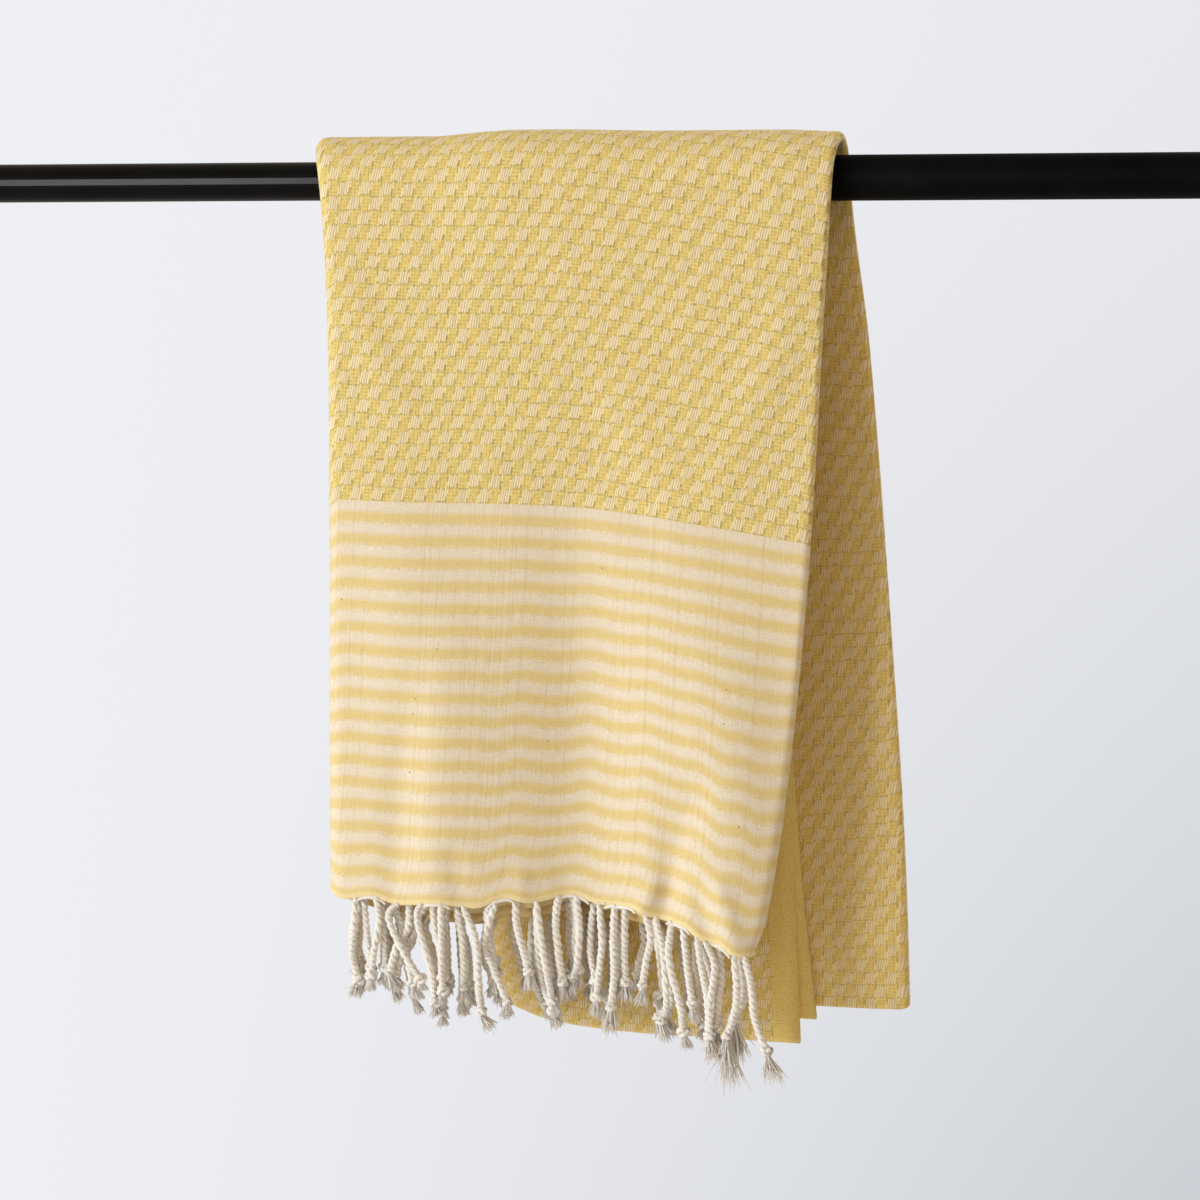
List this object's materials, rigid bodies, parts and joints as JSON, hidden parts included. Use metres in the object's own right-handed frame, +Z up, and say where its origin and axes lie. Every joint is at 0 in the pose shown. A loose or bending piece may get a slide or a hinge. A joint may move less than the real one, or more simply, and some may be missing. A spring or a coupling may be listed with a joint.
{
  "type": "hammam towel on a rail",
  "caption": "Cotton hammam towel with a checked weave, striped ends and knotted fringe, folded lengthwise and hung over a plain telescopic round rail.",
  "frame": {"origin": "centre of the rail's left end face, seen from the front drop", "axes": "+X along the rail to its right end, +Y horizontal and away from the front drop, +Z up"},
  "size_m": [0.84, 0.1073, 0.5297],
  "materials": {
    "towel": "matt woven cotton, yellow with off-white checks and stripes",
    "fringe": "matt twisted cotton, off-white",
    "thin_tube": "satin black",
    "thick_tube": "matt black"
  },
  "bodies": {
    "root": {"towel_cloth": "towel", "fringe_outer_end": "fringe", "fringe_inner_end": "fringe", "rail_thin_tube": "thin_tube", "rail_thick_tube": "thick_tube"}
  },
  "joints": []
}
